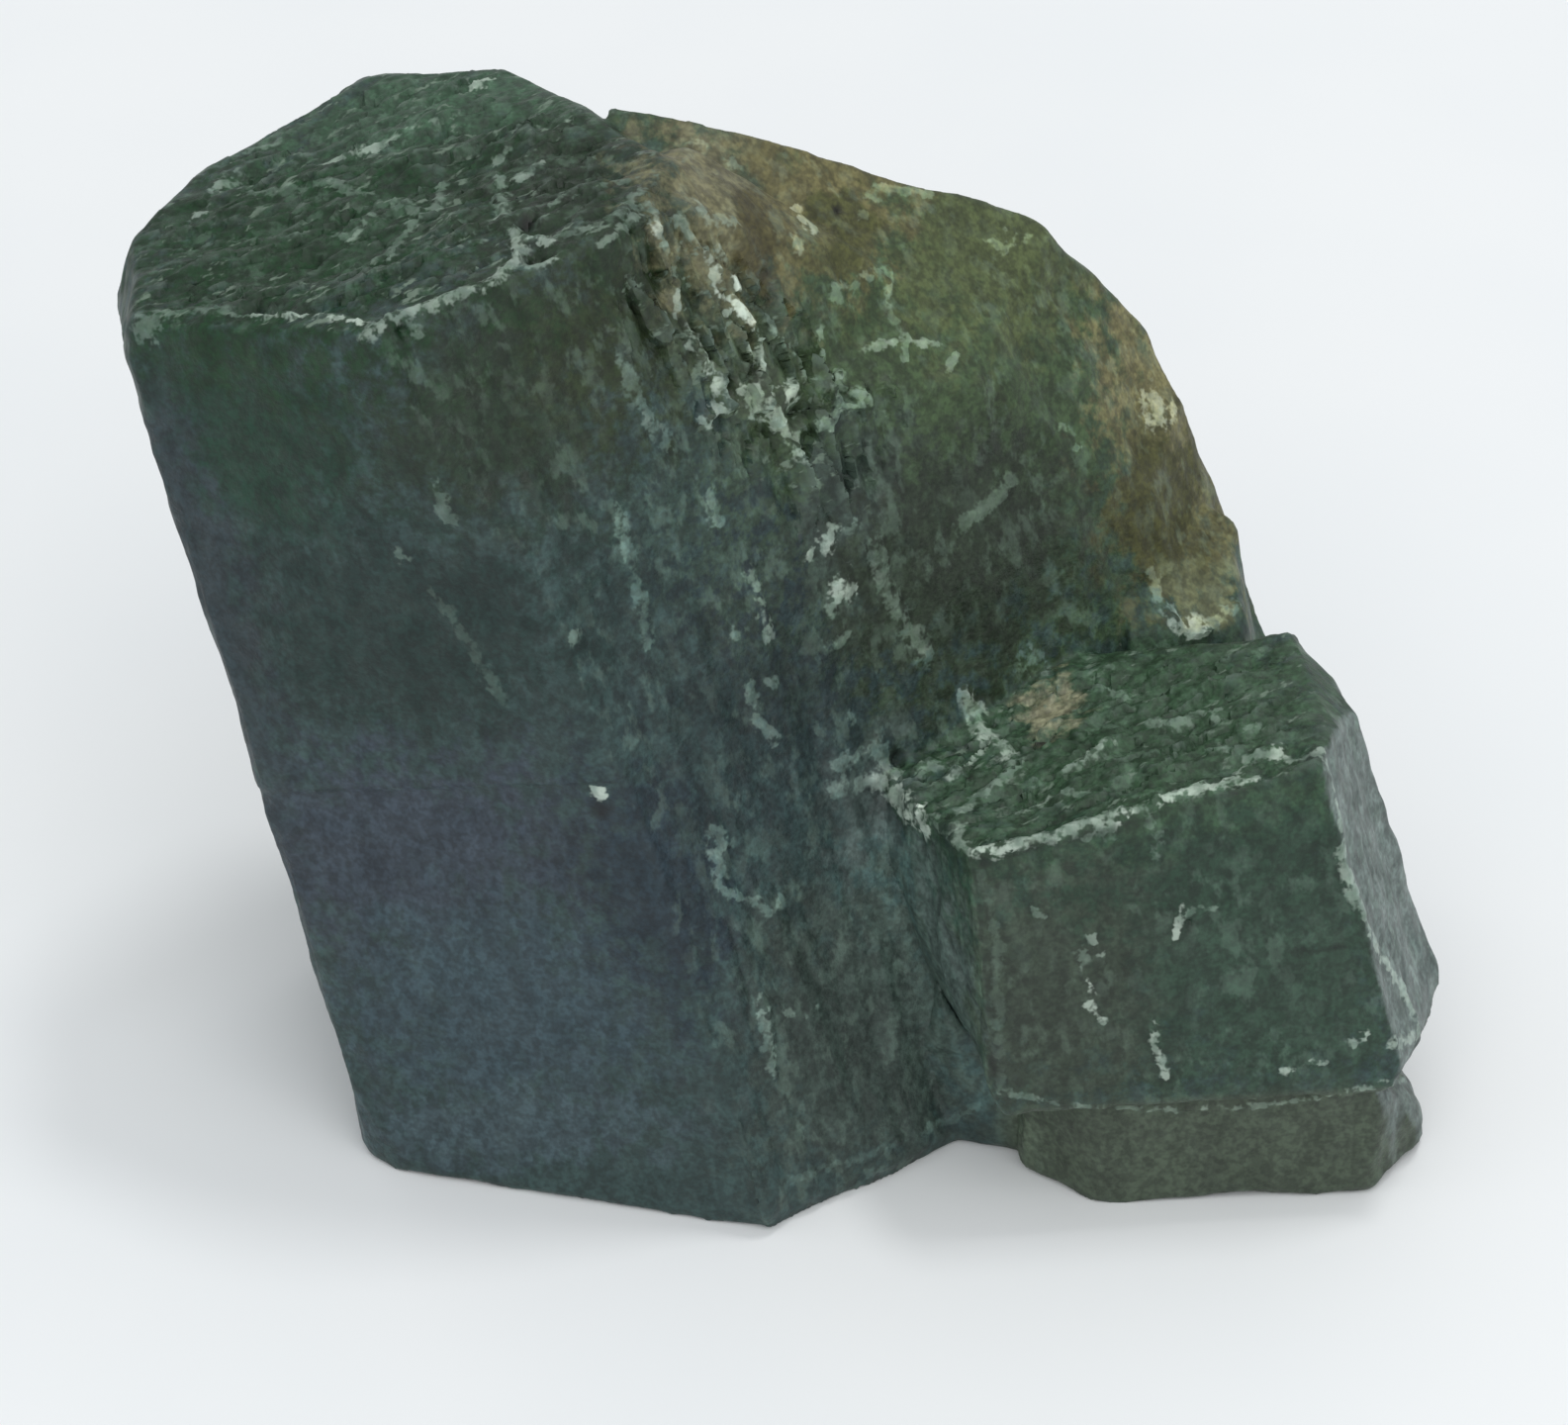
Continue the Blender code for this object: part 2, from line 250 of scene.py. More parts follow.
# Broken ridges that stand proud and pale: half width, height, paleness, and the course.
RIDGES = dict(
    # the main crystal's top
    rim_left=(10, 8, 39, (150, 318), (200, 314), (256, 317), (296, 319)),
    rim_left_bright=(8.5, 12, 76, (262, 316), (315, 320), (365, 324)),
    rim_right=(10, 16, 58, (370, 340), (384, 325), (425, 312), (453, 301), (496, 285), (524, 260)),
    rim_spur=(8, 10, 55, (384, 325), (402, 318)),
    rim_bead=(9, 10, 46, (418, 331), (423, 337)),
    knot_left=(12, 16, 59, (524, 262), (530, 246), (520, 236)),
    knot_upper=(10, 16, 59, (526, 248), (545, 241), (559, 243)),
    knot_lower=(9, 14, 55, (526, 262), (545, 268), (558, 263)),
    knot_stalk=(12, 10, 45, (520, 236), (508, 226), (506, 200), (505, 181)),
    long_left=(12, 12, 60, (330, 166), (352, 157), (376, 148)),
    long_right=(11, 10, 45, (376, 148), (425, 132), (464, 121)),
    upper_middle=(10, 10, 48, (500, 164), (515, 152), (531, 143), (543, 132)),
    upper_right=(10, 10, 48, (563, 138), (574, 126), (586, 114)),
    upper_chip=(9, 10, 53, (526, 179), (537, 173), (549, 167)),
    branch_left=(11, 10, 42, (398, 197), (405, 207), (425, 214), (442, 208), (447, 181)),
    branch_down=(11, 10, 42, (425, 214), (414, 232), (401, 243), (393, 257), (374, 259)),
    fleck_left=(8, 8, 39, (338, 235), (355, 241), (374, 216)),
    fleck_middle=(8, 8, 42, (458, 225), (480, 241)),
    fleck_low=(9, 8, 46, (452, 258), (468, 253), (486, 246)),
    faint_left=(11, 7, 38, (251, 195), (300, 189), (338, 186), (371, 197)),
    faint_low=(9, 6, 30, (205, 240), (245, 238), (300, 238)),
    faint_far=(8, 6, 33, (305, 140), (314, 160)),
    right_line=(9, 8, 39, (556, 209), (595, 195), (630, 184), (660, 175)),
    right_line_low=(10, 8, 42, (567, 236), (600, 231), (627, 214), (649, 192)),
    right_line_end=(9, 8, 44, (612, 246), (629, 232), (644, 219)),
    brow_left=(8, 6, 39, (250, 150), (268, 146), (284, 138)),
    brow_middle=(8, 6, 35, (380, 94), (400, 90), (420, 84)),
    # the splintered ledge and the ridge beside it
    splinter_a=(11, 24, 76, (714, 256), (722, 268), (730, 298), (739, 314)),
    splinter_b=(10, 26, 92, (746, 275), (748, 290)),
    splinter_c=(13, 28, 97, (747, 304), (763, 327)),
    splinter_d=(10, 18, 58, (694, 284), (688, 298), (687, 315)),
    splinter_e=(12, 24, 76, (709, 360), (727, 384), (733, 408), (712, 424)),
    splinter_f=(10, 20, 57, (733, 410), (756, 412), (768, 426)),
    splinter_g=(13, 26, 80, (766, 350), (779, 385)),
    splinter_h=(16, 28, 78, (757, 395), (778, 414), (811, 452)),
    splinter_i=(10, 18, 48, (811, 438), (847, 423), (850, 372)),
    splinter_j=(9, 16, 46, (847, 378), (852, 408), (883, 411), (879, 398), (850, 390)),
    splinter_k=(10, 18, 51, (784, 336), (814, 360), (820, 380)),
    splinter_l=(10, 16, 48, (832, 336), (838, 358)),
    splinter_m=(9, 14, 44, (655, 205), (672, 240), (690, 262)),
    splinter_n=(8, 14, 44, (700, 236), (716, 250), (728, 262)),
    splinter_b_up=(10, 16, 50, (733, 250), (740, 260), (746, 268)),
    splinter_d_low=(9, 16, 56, (700, 322), (706, 338), (697, 348)),
    ridge_fleck=(11, 7, 48, (705, 208), (716, 221), (740, 224)),
    ridge_fleck_low=(10, 6, 42, (686, 222), (702, 238), (716, 246)),
    # the olive block
    cross=(6.5, 9, 66, (872, 352), (893, 347), (916, 345), (949, 347)),
    cross_bar=(6.5, 8, 50, (914, 328), (917, 364)),
    cross_stalk=(7.5, 7, 44, (898, 273), (895, 306), (904, 322)),
    cross_roof=(7.5, 6, 42, (841, 297), (866, 284), (892, 273)),
    cross_bead=(6.5, 9, 51, (968, 358), (960, 375)),
    cross_bead_low=(10, 8, 39, (896, 404), (903, 420)),
    roof_fleck=(10, 7, 68, (804, 212), (812, 222), (822, 231)),
    roof_fleck_right=(10, 6, 48, (1001, 246), (1014, 250), (1024, 252)),
    roof_fleck_low=(10, 5, 50, (808, 240), (810, 252)),
    roof_fleck_far=(9, 5, 46, (1018, 236), (1036, 240)),
    roof_line=(9, 5, 42, (904, 191), (930, 192), (942, 199)),
    roof_line_left=(9, 5, 42, (880, 200), (893, 188)),
    shoulder_fleck=(9, 8, 46, (1077, 432), (1086, 440), (1093, 452)),
    waist=(13, 8, 37, (1024, 486), (1010, 503), (994, 516), (970, 531)),
    nub_left=(11, 14, 53, (1162, 576), (1172, 600), (1186, 628)),
    nub_tip=(12, 14, 92, (1186, 628), (1200, 640), (1214, 637)),
    nub_right=(10, 14, 51, (1214, 637), (1234, 628), (1250, 612)),
    # the grooved band
    band_a=(14, 12, 84, (840, 535), (837, 547)),
    band_b=(15, 12, 42, (884, 550), (892, 575), (897, 602), (908, 616), (924, 640), (935, 664)),
    band_c=(10, 10, 60, (768, 607), (772, 625), (777, 642)),
    band_d=(12, 10, 35, (628, 369), (651, 415), (674, 449)),
    band_e=(10, 8, 35, (622, 512), (637, 563), (647, 600), (655, 650)),
    band_f=(10, 8, 44, (719, 862), (733, 899), (754, 905), (775, 922), (790, 908)),
    band_g=(14, 8, 42, (721, 840), (733, 853)),
    band_h=(10, 10, 46, (767, 1010), (774, 1038), (778, 1066), (782, 1084)),
    band_i=(8, 8, 42, (795, 1023), (810, 1028), (824, 1020)),
    band_j=(10, 8, 42, (758, 694), (762, 715), (768, 732), (782, 745)),
    band_a_low=(9, 10, 76, (823, 556), (817, 566)),
    band_c_up=(9, 8, 50, (757, 578), (764, 594)),
    band_k=(9, 7, 42, (838, 654), (848, 652), (857, 644)),
    band_l=(10, 8, 45, (842, 775), (855, 766), (878, 760)),
    band_m=(10, 6, 42, (716, 497), (720, 512), (723, 530)),
    crease=(8, 6, 22, (992, 882), (1009, 956), (1007, 1029), (1010, 1099)),
    # the smooth front
    front_a=(12, 5, 36, (438, 493), (456, 526)),
    front_b=(10, 4, 24, (434, 592), (474, 649), (508, 712)),
    base_left=(12, 10, 72, (360, 1074), (371, 1102), (398, 1127)),
    base_front=(9, 5, 35, (404, 1139), (460, 1167)),
    base_middle=(9, 5, 37, (607, 1184), (691, 1188)),
    base_right=(7, 5, 26, (796, 1195), (859, 1174), (922, 1146), (992, 1118)),
    # the small crystal
    corner=(18, 16, 76, (890, 786), (909, 808), (936, 834)),
    corner_tail=(10, 10, 51, (942, 830), (966, 848), (984, 860)),
    corner_left=(14, 8, 40, (886, 752), (892, 768), (900, 782)),
    corner_far=(12, 6, 40, (843, 800), (862, 792), (884, 790)),
    top_rim_left=(11, 14, 76, (981, 860), (1023, 857)),
    top_rim=(12, 14, 62, (1023, 856), (1060, 845), (1100, 832), (1122, 825)),
    top_rim_join=(10, 12, 50, (1122, 825), (1150, 818), (1168, 812)),
    top_rim_right=(11, 14, 76, (1168, 812), (1202, 801), (1212, 796), (1240, 790), (1268, 783)),
    top_rim_end=(9, 12, 55, (1252, 778), (1262, 765), (1280, 762), (1296, 762), (1311, 768)),
    white_splinter=(14, 20, 68, (976, 704), (986, 718), (991, 735), (1006, 750), (1018, 760)),
    loop=(13, 10, 48, (1026, 764), (1022, 778), (1005, 790), (985, 803), (972, 820), (968, 846)),
    loop_bar=(11, 12, 60, (966, 780), (976, 770), (990, 758)),
    lamella_a=(13, 10, 58, (1030, 818), (1045, 808), (1061, 803)),
    lamella_b=(10, 10, 62, (1077, 774), (1098, 765), (1122, 750)),
    lamella_c=(11, 8, 42, (1160, 727), (1185, 732), (1200, 727), (1208, 717), (1226, 717), (1232, 730)),
    lamella_d=(9, 7, 40, (1222, 756), (1238, 759), (1252, 757)),
    # painted highlight: the pale edge down the small crystal's side, where it catches light from the right
    side_edge_highlight=(10, 6, 60, (1333, 761), (1345, 803), (1362, 882), (1384, 944), (1418, 1001)),
    side_edge_low_highlight=(10, 6, 60, (1418, 1001), (1427, 1030), (1431, 1058)),
    front_bead_a=(6.5, 8, 72, (1194, 920), (1187, 944)),
    front_bead_b=(6.5, 6, 42, (1198, 925), (1226, 916)),
    front_bead_c=(6.5, 8, 51, (1101, 940), (1111, 962)),
    front_bead_d=(6.5, 8, 68, (1100, 990), (1102, 1018), (1115, 1030)),
    front_bead_e=(6.5, 8, 65, (1167, 1037), (1170, 1063), (1181, 1088)),
    front_bead_f=(6.5, 8, 68, (1297, 1083), (1317, 1074), (1342, 1075)),
    front_bead_g=(6.5, 4, 37, (1044, 916), (1056, 928)),
    lip_left=(6, 12, 42, (1012, 1102), (1060, 1112), (1102, 1119), (1176, 1121)),
    lip_right=(6, 12, 50, (1176, 1121), (1255, 1118), (1328, 1110), (1418, 1091)),
    loop_bar_left=(11, 8, 42, (934, 782), (945, 772), (966, 778)),
    lamella_e=(10, 8, 42, (1074, 800), (1102, 802)),
    lamella_f=(9, 6, 40, (1108, 686), (1120, 677), (1138, 675)),
    lamella_g=(9, 6, 38, (1110, 694), (1126, 697), (1138, 704)),
    lamella_h=(9, 6, 40, (1260, 738), (1280, 730)),
    branch_a=(8, 5, 36, (1160, 824), (1171, 838), (1164, 866)),
    branch_b=(8, 5, 36, (1104, 834), (1100, 850)),
    branch_c=(8, 5, 36, (1120, 830), (1121, 848)),
)

# Pale chips: radius, height, paleness, and place.
CHIPS = dict(
    top_far=(20, 5, 82, (483, 86)),
    top_left=(24, 8, 51, (224, 184)),
    top_left_low=(16, 8, 70, (202, 211)),
    top_right=(13, 12, 80, (665, 227)),
    top_right_up=(10, 12, 55, (649, 218)),
    top_right_end=(10, 10, 51, (661, 178)),
    rim_corner=(26, 6, 37, (148, 330)),
    ledge_block=(24, 30, 95, (803, 397)),
    band_star=(22, 14, 84, (854, 594)),
    band_star_tail=(12, 8, 50, (840, 616)),
    band_bead=(13, 10, 55, (768, 1020)),
    front_glint=(13, 6, 82, (604, 806)),
    shoulder=(30, 8, 66, (1171, 413)),
    nub=(14, 10, 97, (1208, 634)),
    front_dot_a=(10, 5, 72, (1379, 1046)),
    front_dot_b=(10, 5, 51, (1364, 1056)),
    front_dot_c=(12, 5, 46, (1094, 964)),
    low_bead=(10, 5, 46, (859, 726)),
    mid_bead=(13, 5, 37, (582, 644)),
    front_high=(14, 5, 35, (405, 563)),
    band_high=(12, 5, 42, (650, 420)),
    corner_white=(13, 16, 97, (930, 817)),
    rim_bead=(13, 16, 95, (1137, 822)),
    lamella_bead=(13, 6, 42, (1043, 788)),
    end_bead=(12, 10, 80, (1292, 761)),
    ridge_high=(14, 5, 42, (706, 144)),
    ridge_bead=(12, 5, 42, (741, 166)),
    roof_bead=(11, 5, 45, (872, 218)),
    cross_left=(13, 6, 42, (843, 298)),
    band_c_bead=(12, 7, 42, (746, 638)),
    band_j_bead=(12, 6, 42, (782, 690)),
    band_b_bead=(12, 8, 56, (932, 661)),
    band_top_bead=(12, 6, 46, (823, 491)),
    band_b_left=(12, 6, 42, (861, 529)),
    dark_fleck=(11, 5, 42, (980, 529)),
    top_tan=(24, 5, 46, (1043, 668)),
)

# Holes broken into the surface and painted dark as the shade inside them: radius, depth, and place.
HOLES = dict(
    knot=(20, 50, (540, 258)),
    knot_upper=(16, 35, (533, 227)),
    rim=(13, 30, (410, 333)),
    top_middle=(17, 25, (398, 268)),
    ledge_a=(20, 70, (743, 390)),
    ledge_b=(26, 80, (818, 412)),
    ledge_c=(22, 60, (775, 300)),
    ledge_d=(16, 50, (765, 376)),
    ledge_e=(20, 50, (728, 345)),
    corner=(13, 40, (909, 768)),
    lamella=(15, 30, (974, 748)),
    lamella_right=(20, 35, (1050, 748)),
    front_bead=(11, 20, (1201, 934)),
    glint=(20, 10, (606, 822)),
    lamella_left=(12, 25, (1002, 727)),
    lamella_low=(10, 20, (980, 784)),
    ledge_f=(18, 35, (778, 278)),
    roof_dark=(12, 12, (845, 214)),
)

# Fine cracks and shadowed steps, cut in and painted dark as the shade inside them: half width, depth, and the
# course.
CRACKS = dict(
    behind_rim=(20, 16, (256, 308), (310, 311), (362, 313)),
    crease_upper=(10, 12, (932, 856), (942, 884), (956, 936), (973, 990)),
    crease_lower=(10, 4, (973, 990), (996, 1040), (1006, 1100)),
    crease_inner=(8, 6, (940, 850), (958, 905), (968, 960)),
    below_top_rim=(12, 6, (990, 872), (1076, 852), (1140, 833), (1222, 810), (1270, 794)),
    lamella_a=(11, 16, (1042, 838), (1075, 824), (1105, 813)),
    lamella_b=(10, 14, (1060, 790), (1100, 776), (1150, 768)),
    lamella_c=(12, 20, (1042, 742), (1075, 742), (1095, 752), (1105, 756)),
    front_fold=(8, 4, (1300, 961), (1362, 956)),
    band_fold=(10, 6, (735, 930), (752, 1000), (763, 1060)),
    lamella_d=(10, 14, (1128, 796), (1148, 800), (1166, 796)),
    lamella_e=(12, 14, (992, 704), (1015, 707), (1040, 706)),
    band_b_shadow=(10, 10, (879, 555), (884, 585)),
)
PAINT_REACH = 2.4  # how much wider than its relief a ridge's paleness is
PIT_SHADE_REACH = 1.3  # and a hole's darkness
CRACK_DARKNESS = 0.55  # against a hole's
PATH_STEP = 0.4  # about how far apart the places along a mark's course are

# Where the paint's masks start and are whole.
CREST_STAND = (0.03, 0.22)  # how far a vertex stands above its neighbours, against its edges' length
CREVICE_SINK = (0.05, 0.3)
BELOW_SMALL_TOP = (7.2, 8.2)
UPWARD = (0.55, 0.8)
BANDED_FRONT = (6.9, 7.2)  # distance forward, where the small crystal's front is mottled too
BANDED_FROM_LEFT = (3.0, 4.0)
# where the small crystal's right side face is painted paler grey, as the light it reflects from the right
SIDE_REFLECTION_TURN = (0.8, 0.95)
SIDE_REFLECTION_DISTANCE = (15.4, 16.0)
FOOT_TOP = (3.6, 4.0)  # height above the ground
FOOT_LEFT = (5.4, 6.2)
FOOT_BACK = (4.5, 6.5)

# ---- colours

# Colours are as the stone shows them under the scene's light, in 0 to 255 display values.
BASE_COLOUR = (58, 71, 70)
PALE_COLOUR = (219, 231, 218)
CREST_COLOUR = (88, 102, 93)
SLIVER_COLOUR = (116, 132, 118)
# painted reflection: the paler grey of the small crystal's right side face
SIDE_REFLECTION_COLOUR = (100, 110, 107)
# painted shade: the near-black that holes, cracks and crevices are darkened towards
PIT_SHADE_COLOUR = (22, 28, 26)
FOOT_COLOUR = (70, 78, 68)

# Soft patches of colour: centre in photo pixels, reach along the crystals' right, back and length axes.
ZONES = dict(
    back_green=((1000, 120), (30, 9, 30), (60, 75, 62)),
    front_upper_left=((240, 430), (6, 6, 5.5), (44, 60, 52)),
    front_upper_middle=((510, 400), (5, 5, 5.5), (48, 57, 49)),
    front_middle=((400, 640), (8, 5, 4.5), (47, 58, 56)),
    front_low_purple=((400, 860), (8.5, 5, 4), (61, 68, 75)),
    front_low_blue=((500, 1010), (6, 5, 4), (61, 73, 78)),
    front_foot=((520, 1130), (7, 5, 1.6), (65, 77, 81)),
    front_left_edge=((205, 600), (2, 6, 9), (54, 62, 65)),
    band_low=((870, 1040), (5, 5, 7), (61, 70, 66)),
    band_dark=((660, 900), (2.4, 5, 5), (50, 58, 63)),
    band_middle=((800, 680), (5.5, 5, 6), (51, 60, 61)),
    band_upper=((660, 290), (5.5, 5, 4.4), (51, 58, 46)),
    top_green=((330, 230), (9, 9, 3.6), (42, 59, 45)),
    top_far_green=((430, 105), (5.5, 3.5, 3), (60, 80, 65)),
    top_brown=((590, 190), (4.2, 5, 3.6), (46, 56, 46)),
    olive_whole=((960, 330), (14, 14, 12), (64, 77, 58)),
    olive_upper=((1010, 220), (8, 6, 4), (76, 84, 60)),
    olive_low_left=((870, 535), (3, 4, 4), (60, 69, 65)),
    olive_dark=((970, 560), (5.5, 6, 4.5), (54, 61, 53)),
    ledge=((755, 345), (2.2, 3, 3.4), (72, 82, 67)),
    band_joint=((878, 800), (1.9, 3, 1.7), (66, 75, 73)),
    ridge_tan=((735, 195), (3, 5, 3.2), (104, 103, 81)),
    ridge_light=((706, 160), (1.3, 3, 1.4), (104, 102, 80)),
    ridge_brown=((772, 240), (1.3, 3, 1.5), (76, 73, 54)),
    olive_roof_tan=((830, 200), (3.4, 5, 2.4), (95, 92, 67)),
    olive_roof_brown=((845, 230), (1.5, 3, 1.2), (72, 74, 52)),
    olive_rim=((1190, 440), (2.7, 7, 5.8), (107, 104, 76)),
    olive_low_rim=((1180, 500), (2.4, 7, 2.8), (71, 72, 51)),
    olive_nub_tan=((1222, 596), (1.4, 3, 1.1), (94, 98, 75)),
    small_whole=((1180, 860), (14, 14, 12), (50, 64, 55)),
    small_top=((1140, 730), (9, 9, 2), (60, 78, 62)),
    small_top_tan=((1061, 713), (0.9, 2, 1.2), (126, 126, 104)),
    small_brown=((1060, 1010), (4.4, 5, 5), (60, 68, 60)),
    # the small crystal's left face: partly its own grey-brown tone, partly painted light over the shade in
    # the crease beside it
    small_left=((950, 960), (1.8, 3.5, 5), (64, 73, 70)),
    small_right=((1290, 1000), (4, 5, 5), (55, 69, 60)),
)

# Random patterns: size in millimetres, detail, roughness, the noise values between which the pattern grows,
# and the values that it grows between.
PATTERNS = dict(
    patch_edges=(0.6, 4, 0.65, 0.3, 0.7, -0.28, 0.28),
    # the patchy spread of the painted reflection on the small crystal's side
    side_reflection=(0.7, 2, 0.5, 0.3, 0.6, 0.6, 1.0),
    mottling=(0.42, 3, 0.55, 0.4, 0.6, -1.0, 1.0),
    specks=(0.2, 1, 0.5, 0.36, 0.64, 0.8, 1.2),
    broad=(2.6, 2, 0.5, 0.35, 0.65, 0.94, 1.06),
    grain=(0.1, 1, 0.5, 0.3, 0.7, 0.93, 1.07),
    blobs=(0.5, 3, 0.6, 0.5, 0.64, 0.0, 1.0),
    blob_groups=(1.7, 2, 0.5, 0.4, 0.62, 0.35, 1.0),
    slivers=(0.38, 3, 0.6, 0.6, 0.69, 0.0, 0.7),
    crests=(0.6, 2, 0.5, 0.42, 0.6, 0.2, 0.9),
    ragged_marks=(0.3, 2, 0.6, 0.3, 0.7, -0.22, 0.22),
    paleness=(0.5, 3, 0.5, 0.38, 0.6, 0.8, 1.08),
    gloss=(0.8, 3, 0.5, 0.3, 0.7, 0.42, 0.66),
    card=(14.0, 2, 0.5, 0.3, 0.7, 0.0, 1.0),
)
# How strong the mottling and the lighter blobs are on the plain and on the busy parts.
MOTTLING = (0.15, 0.2)
BLOBS = (0.12, 0.9)
# Painted light: the crease between the main and the small crystal, and the small crystal's left face, are
# painted brighter to make up for the shade that falls there.
CREASE_PAINTED_LIGHT = 1.9  # how much brighter the crease is
MARK_TINT = (0.3, 0.55)  # how much of the stone's own hue the marks have, and on the olive block
# how far the painted shade in pits and in crevices goes towards its near-black
PIT_SHADE_SHARE = 0.95
CREVICE_SHADE_SHARE = 0.36

VEIL = 0.02  # light that the stone's sheen adds everywhere, in linear display values
LIGHT = 0.86  # light that the scene casts on the stone, where white is 1


# ---- directions and blocks

LEAN = (
    Euler((math.radians(-LEAN_BACK), 0.0, 0.0)).to_matrix()
    @ Euler((0.0, math.radians(-LEAN_LEFT), 0.0)).to_matrix()
)


def facing(azimuth, height):
    """Unit vector towards a compass azimuth (0 is the front, 90 the right) and a height above level."""
    a = math.radians(azimuth)
    h = math.radians(height)
    return Vector((math.sin(a) * math.cos(h), -math.cos(a) * math.cos(h), math.sin(h)))


def crystal_facing(azimuth, polar):
    """The same, for a face given round the tilted length axis and by its angle from that axis."""
    return LEAN @ facing(azimuth, 90.0 - polar)


def planes(crystal_faces, level_faces):
    """The outward direction and the distance of each of a block's faces."""
    made = [(crystal_facing(azimuth, polar), out) for azimuth, polar, out in crystal_faces.values()]
    return made + [(facing(azimuth, height), out) for azimuth, height, out in level_faces.values()]


def cut_block(crystal_faces, level_faces, wear):
    """The mesh of a cube cut down by the ground and each face of a block, with its edges worn round."""
    bm = bmesh.new()
    bmesh.ops.create_cube(bm, size=BLANK)
    for normal, distance in [(facing(0.0, -90.0), -GROUND), *planes(crystal_faces, level_faces)]:
        whole = bm.verts[:] + bm.edges[:] + bm.faces[:]
        cut = bmesh.ops.bisect_plane(
            bm, geom=whole, plane_co=normal * distance, plane_no=normal, clear_outer=True
        )
        rim = [item for item in cut["geom_cut"] if isinstance(item, bmesh.types.BMEdge)]
        if rim:
            bmesh.ops.edgeloop_fill(bm, edges=rim)
    bmesh.ops.recalc_face_normals(bm, faces=bm.faces[:])
    block = mesh_object("block", bm)
    worn = block.modifiers.new("worn_edges", "BEVEL")
    worn.width = wear
    worn.segments = 3
    worn.limit_method = "ANGLE"
    worn.angle_limit = math.radians(4)
    mesh = settle(block)
    bpy.data.objects.remove(block)
    return mesh


def new_object(name, data):
    """An object in the scene that holds a mesh, a lamp or a camera."""
    item = bpy.data.objects.new(name, data)
    bpy.context.scene.collection.objects.link(item)
    return item


def mesh_object(name, bm):
    """An object in the scene that holds the bmesh, which is then freed."""
    mesh = bpy.data.meshes.new(name)
    bm.to_mesh(mesh)
    bm.free()
    return new_object(name, mesh)


def settle(item):
    """Applies the object's modifiers and gives its new mesh."""
    bpy.context.view_layer.update()
    mesh = bpy.data.meshes.new_from_object(item.evaluated_get(bpy.context.evaluated_depsgraph_get()))
    item.modifiers.clear()
    item.data = mesh
    return mesh


def fused_blocks():
    """The stone's crystals fused into one closed surface of small even cells, smoothed a little."""
    bm = bmesh.new()
    for block in (MAIN, OLIVE, SMALL, FOOT, SILL, GUSSET, NUB, BRIDGE):
        bm.from_mesh(cut_block(*block))
    stone = mesh_object("raw_emerald", bm)
    cells = stone.modifiers.new("cells", "REMESH")
    cells.mode = "VOXEL"
    cells.voxel_size = GRAIN
    ease = stone.modifiers.new("ease", "SMOOTH")
    ease.factor = 0.5
    ease.iterations = 4
    settle(stone)
    return stone


# ---- numbers over the surface

def blend(values, low, high):
    """0 below low, 1 above high, and smooth between."""
    t = np.clip((values - low) / (high - low), 0.0, 1.0)
    return t * t * (3.0 - 2.0 * t)


def waves(places, size, octaves):
    """Smooth random heights, about -1 to 1, of features of the given size."""
    return np.array([noise.fractal(place, 1.0, 2.0, octaves) for place in (places / size).tolist()])


def flakes(places, size):
    """Random heights of flat, tipped flakes of the given size that meet at sharp edges."""
    heights = np.empty(len(places))
    for index, place in enumerate((places / size).tolist()):
        site = noise.voronoi(place)[1][0]
        tip = noise.cell_vector(site * 7.0) - Vector((0.5, 0.5, 0.5))
        heights[index] = tip.x + tip.dot(Vector(place) - site) * 1.6
    return heights


def terraces(heights, count):
    """Heights gathered into flat treads with steep risers between them."""
    level = heights * count
    tread = np.floor(level)
    return (tread + blend(level - tread, 0.7, 1.0)) / count


def relief(name, share, places, heights, *options):
    """A random relief times its share, worked out only at the places that have a share of it."""
    height, size = RELIEF[name]
    made = np.zeros(len(places))
    chosen = np.flatnonzero(share > 0.01)
    made[chosen] = heights(places[chosen], size, *options) * share[chosen] * height
    return made


def near_path(places, path, reach):
    """1 on a run of straight lines, falling evenly to 0 at twice the reach."""
    near = np.zeros(len(places))
    for start, end in zip(path, path[1:]):
        low = np.minimum(start, end) - 2.0 * reach
        high = np.maximum(start, end) + 2.0 * reach
        close = np.flatnonzero(((places > low) & (places < high)).all(axis=1))
        along = end - start
        offset = places[close] - start
        t = np.clip(offset @ along / max(along @ along, 1e-9), 0.0, 1.0)
        away = np.linalg.norm(offset - t[:, None] * along, axis=1)
        near[close] = np.maximum(near[close], 1.0 - away / (2.0 * reach))
    return near


def surface(mesh):
    """The mesh's vertices and their normals, as rows of three."""
    places = np.empty(len(mesh.vertices) * 3)
    mesh.vertices.foreach_get("co", places)
    normals = np.empty(len(mesh.vertices) * 3)
    mesh.vertex_normals.foreach_get("vector", normals)
    return places.reshape(-1, 3), normals.reshape(-1, 3)


def wandered(places):
    """The places pushed about a little, so that what is drawn by them is ragged."""
    noise.seed_set(WANDER_SEED)
    wide = [noise.noise_vector(place)[:] for place in (places / WANDER_SIZE).tolist()]
    small = [noise.noise_vector(place)[:] for place in (places / FRAY_SIZE).tolist()]
    return places + np.array(wide) * WANDER + np.array(small) * FRAY


# ---- marks placed by photo pixels

def photo_axes():
    """The photo camera's place, and its right, up and forward directions, in the blocks' frame."""
    back = facing(0.0, CAMERA_ELEVATION)
    right = Vector((1.0, 0.0, 0.0))
    return CAMERA_TARGET + back * CAMERA_DISTANCE, right, back.cross(right), -back


